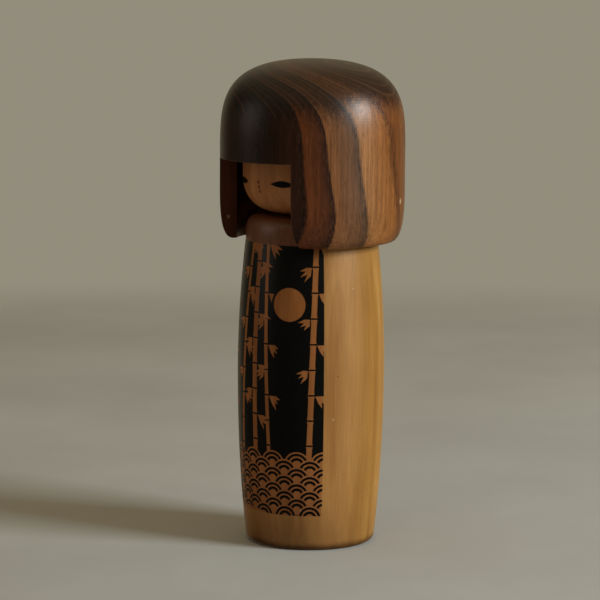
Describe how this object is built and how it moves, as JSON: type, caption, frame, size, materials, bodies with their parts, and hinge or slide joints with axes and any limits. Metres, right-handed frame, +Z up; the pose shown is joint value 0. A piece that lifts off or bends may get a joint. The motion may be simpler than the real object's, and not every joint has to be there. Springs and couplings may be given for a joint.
{
  "type": "kokeshi doll",
  "caption": "Turned wooden doll with a barrel body, a bobbed hair cap with a face window, and a head that turns on a dowel.",
  "frame": {"origin": "centre of the base, on the surface the doll stands on", "axes": "+Z up along the turning axis; the face and the printed panel look along -Y; +X is to the right of someone who faces the doll's front"},
  "size_m": [0.062, 0.062, 0.1627],
  "materials": {
    "body_wood": "satin lacquered pale wood",
    "shoulder_wood": "satin dark brown stain",
    "dowel_wood": "bare pale wood",
    "face_wood": "satin lacquered pale wood",
    "hair_wood": "satin lacquered two-tone wood",
    "black_ink": "thin satin printing ink and paint",
    "red_ink": "thin dark red paint"
  },
  "bodies": {
    "doll_body": {"body": "body_wood", "shoulder": "shoulder_wood"},
    "head": {"hair_cap": "hair_wood", "face": "face_wood", "neck_dowel": "dowel_wood"}
  },
  "joints": [
    {"name": "head_turn", "type": "hinge", "parent": "doll_body", "child": "head", "pos_m": [0, 0, 0.1107], "axis": [0, 0, 1], "continuous": true}
  ]
}
